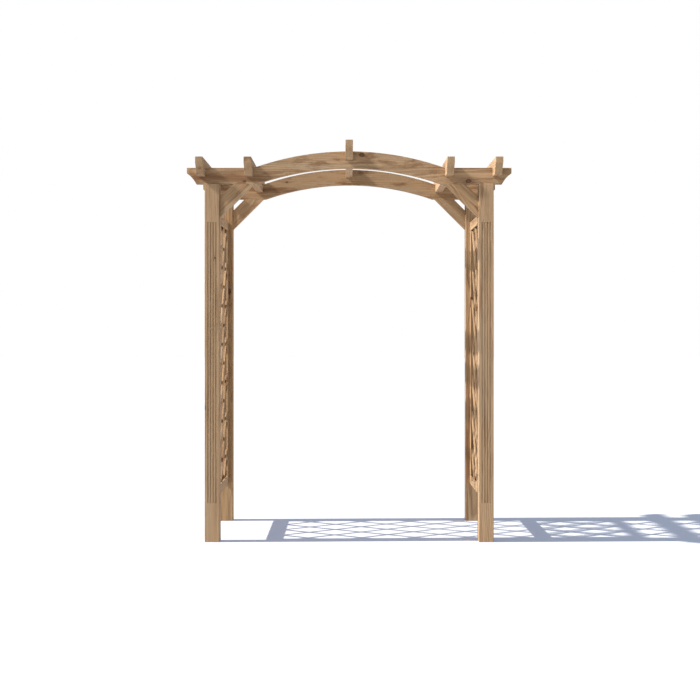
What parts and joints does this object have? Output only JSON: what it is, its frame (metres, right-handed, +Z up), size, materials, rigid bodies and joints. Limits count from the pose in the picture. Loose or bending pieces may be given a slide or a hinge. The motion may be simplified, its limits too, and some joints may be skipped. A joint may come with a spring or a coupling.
{
  "type": "trellis garden arch",
  "caption": "Freestanding timber garden arch with stop-fluted square posts, bowed beams, half-lapped cross rafters, corner braces and framed diamond trellis sides.",
  "frame": {"origin": "on the ground, in the middle of the four post feet", "axes": "+Z up, +X to the right across the arch as the picture sees it, +Y to the rear along the way through"},
  "size_m": [1.97, 1.335, 2.414],
  "materials": {
    "post_wood": "planed softwood, matt, weathered warm brown",
    "beam_wood": "planed softwood, matt, weathered warm brown",
    "brace_wood": "planed softwood, matt, weathered warm brown",
    "rafter_wood": "planed softwood, matt, weathered warm brown",
    "panel_wood": "planed softwood, matt, weathered warm brown",
    "slat_wood": "sawn softwood lath, matt, weathered warm brown"
  },
  "bodies": {
    "root": {"post_front_left": "post_wood", "post_front_right": "post_wood", "post_rear_left": "post_wood", "post_rear_right": "post_wood", "arched_beam_front": "beam_wood", "arched_beam_rear": "beam_wood", "brace_front_left": "brace_wood", "brace_front_right": "brace_wood", "brace_rear_left": "brace_wood", "brace_rear_right": "brace_wood", "rafter_outer_left": "rafter_wood", "rafter_inner_left": "rafter_wood", "rafter_centre": "rafter_wood", "rafter_inner_right": "rafter_wood", "rafter_outer_right": "rafter_wood", "trellis_left_front_stile": "panel_wood", "trellis_left_rear_stile": "panel_wood", "trellis_left_bottom_rail": "panel_wood", "trellis_left_top_rail": "panel_wood", "trellis_right_front_stile": "panel_wood", "trellis_right_rear_stile": "panel_wood", "trellis_right_bottom_rail": "panel_wood", "trellis_right_top_rail": "panel_wood", "trellis_left_lattice": "slat_wood", "trellis_right_lattice": "slat_wood"}
  },
  "joints": []
}
